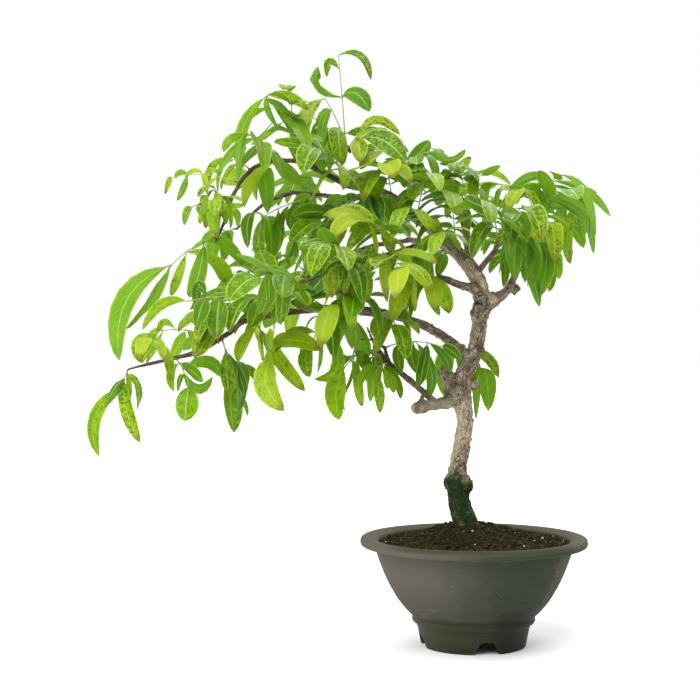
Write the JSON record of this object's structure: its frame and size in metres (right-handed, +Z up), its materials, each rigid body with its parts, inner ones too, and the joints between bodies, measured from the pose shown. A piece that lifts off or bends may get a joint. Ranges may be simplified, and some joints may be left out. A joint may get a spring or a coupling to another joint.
{
  "type": "japanese wisteria bonsai",
  "caption": "Young wisteria grown as a leaning bonsai: a bent trunk with a one-sided crown of drooping pinnate leaves, in a round flared training pot with a notched foot.",
  "frame": {"origin": "on the ground, under the middle of the whole object's bounding box", "axes": "+Z up; -Y is the front, the side the picture shows; +X to the right of someone who looks at the front"},
  "size_m": [0.4426, 0.3564, 0.5304],
  "materials": {
    "clay": "matte unglazed stoneware, damp and darker in places",
    "earth": "coarse granular potting mix",
    "bark": "furrowed grey-brown bark, mossy at the foot",
    "foliage": "glossy green above, matte and paler below",
    "plastic_mesh": "moulded plastic mesh",
    "wire": "brown anodised training wire"
  },
  "bodies": {
    "root": {"pot": "clay", "drainage_mesh": "plastic_mesh", "mesh_wire": "wire", "soil": "earth", "trunk_and_branches": "bark", "leaf_01": "foliage", "leaf_02": "foliage", "leaf_03": "foliage", "leaf_04": "foliage", "leaf_05": "foliage", "leaf_06": "foliage", "leaf_07": "foliage", "leaf_08": "foliage", "leaf_09": "foliage", "leaf_10": "foliage", "leaf_11": "foliage", "leaf_12": "foliage", "leaf_13": "foliage", "leaf_14": "foliage", "leaf_15": "foliage", "leaf_16": "foliage", "leaf_17": "foliage", "leaf_18": "foliage", "leaf_19": "foliage", "leaf_20": "foliage", "leaf_21": "foliage", "leaf_22": "foliage", "leaf_23": "foliage", "leaf_24": "foliage", "leaf_25": "foliage", "leaf_26": "foliage", "leaf_27": "foliage", "leaf_28": "foliage", "leaf_29": "foliage", "leaf_30": "foliage", "leaf_31": "foliage", "leaf_32": "foliage", "leaf_33": "foliage", "leaf_34": "foliage", "leaf_35": "foliage", "leaf_36": "foliage", "leaf_37": "foliage", "leaf_38": "foliage", "leaf_39": "foliage", "leaf_40": "foliage", "leaf_41": "foliage", "leaf_42": "foliage", "leaf_43": "foliage", "leaf_44": "foliage", "leaf_45": "foliage", "leaf_46": "foliage", "leaf_47": "foliage", "leaf_48": "foliage", "leaf_49": "foliage", "leaf_50": "foliage", "leaf_51": "foliage", "leaf_52": "foliage", "leaf_53": "foliage", "leaf_54": "foliage", "leaf_55": "foliage"}
  },
  "joints": []
}
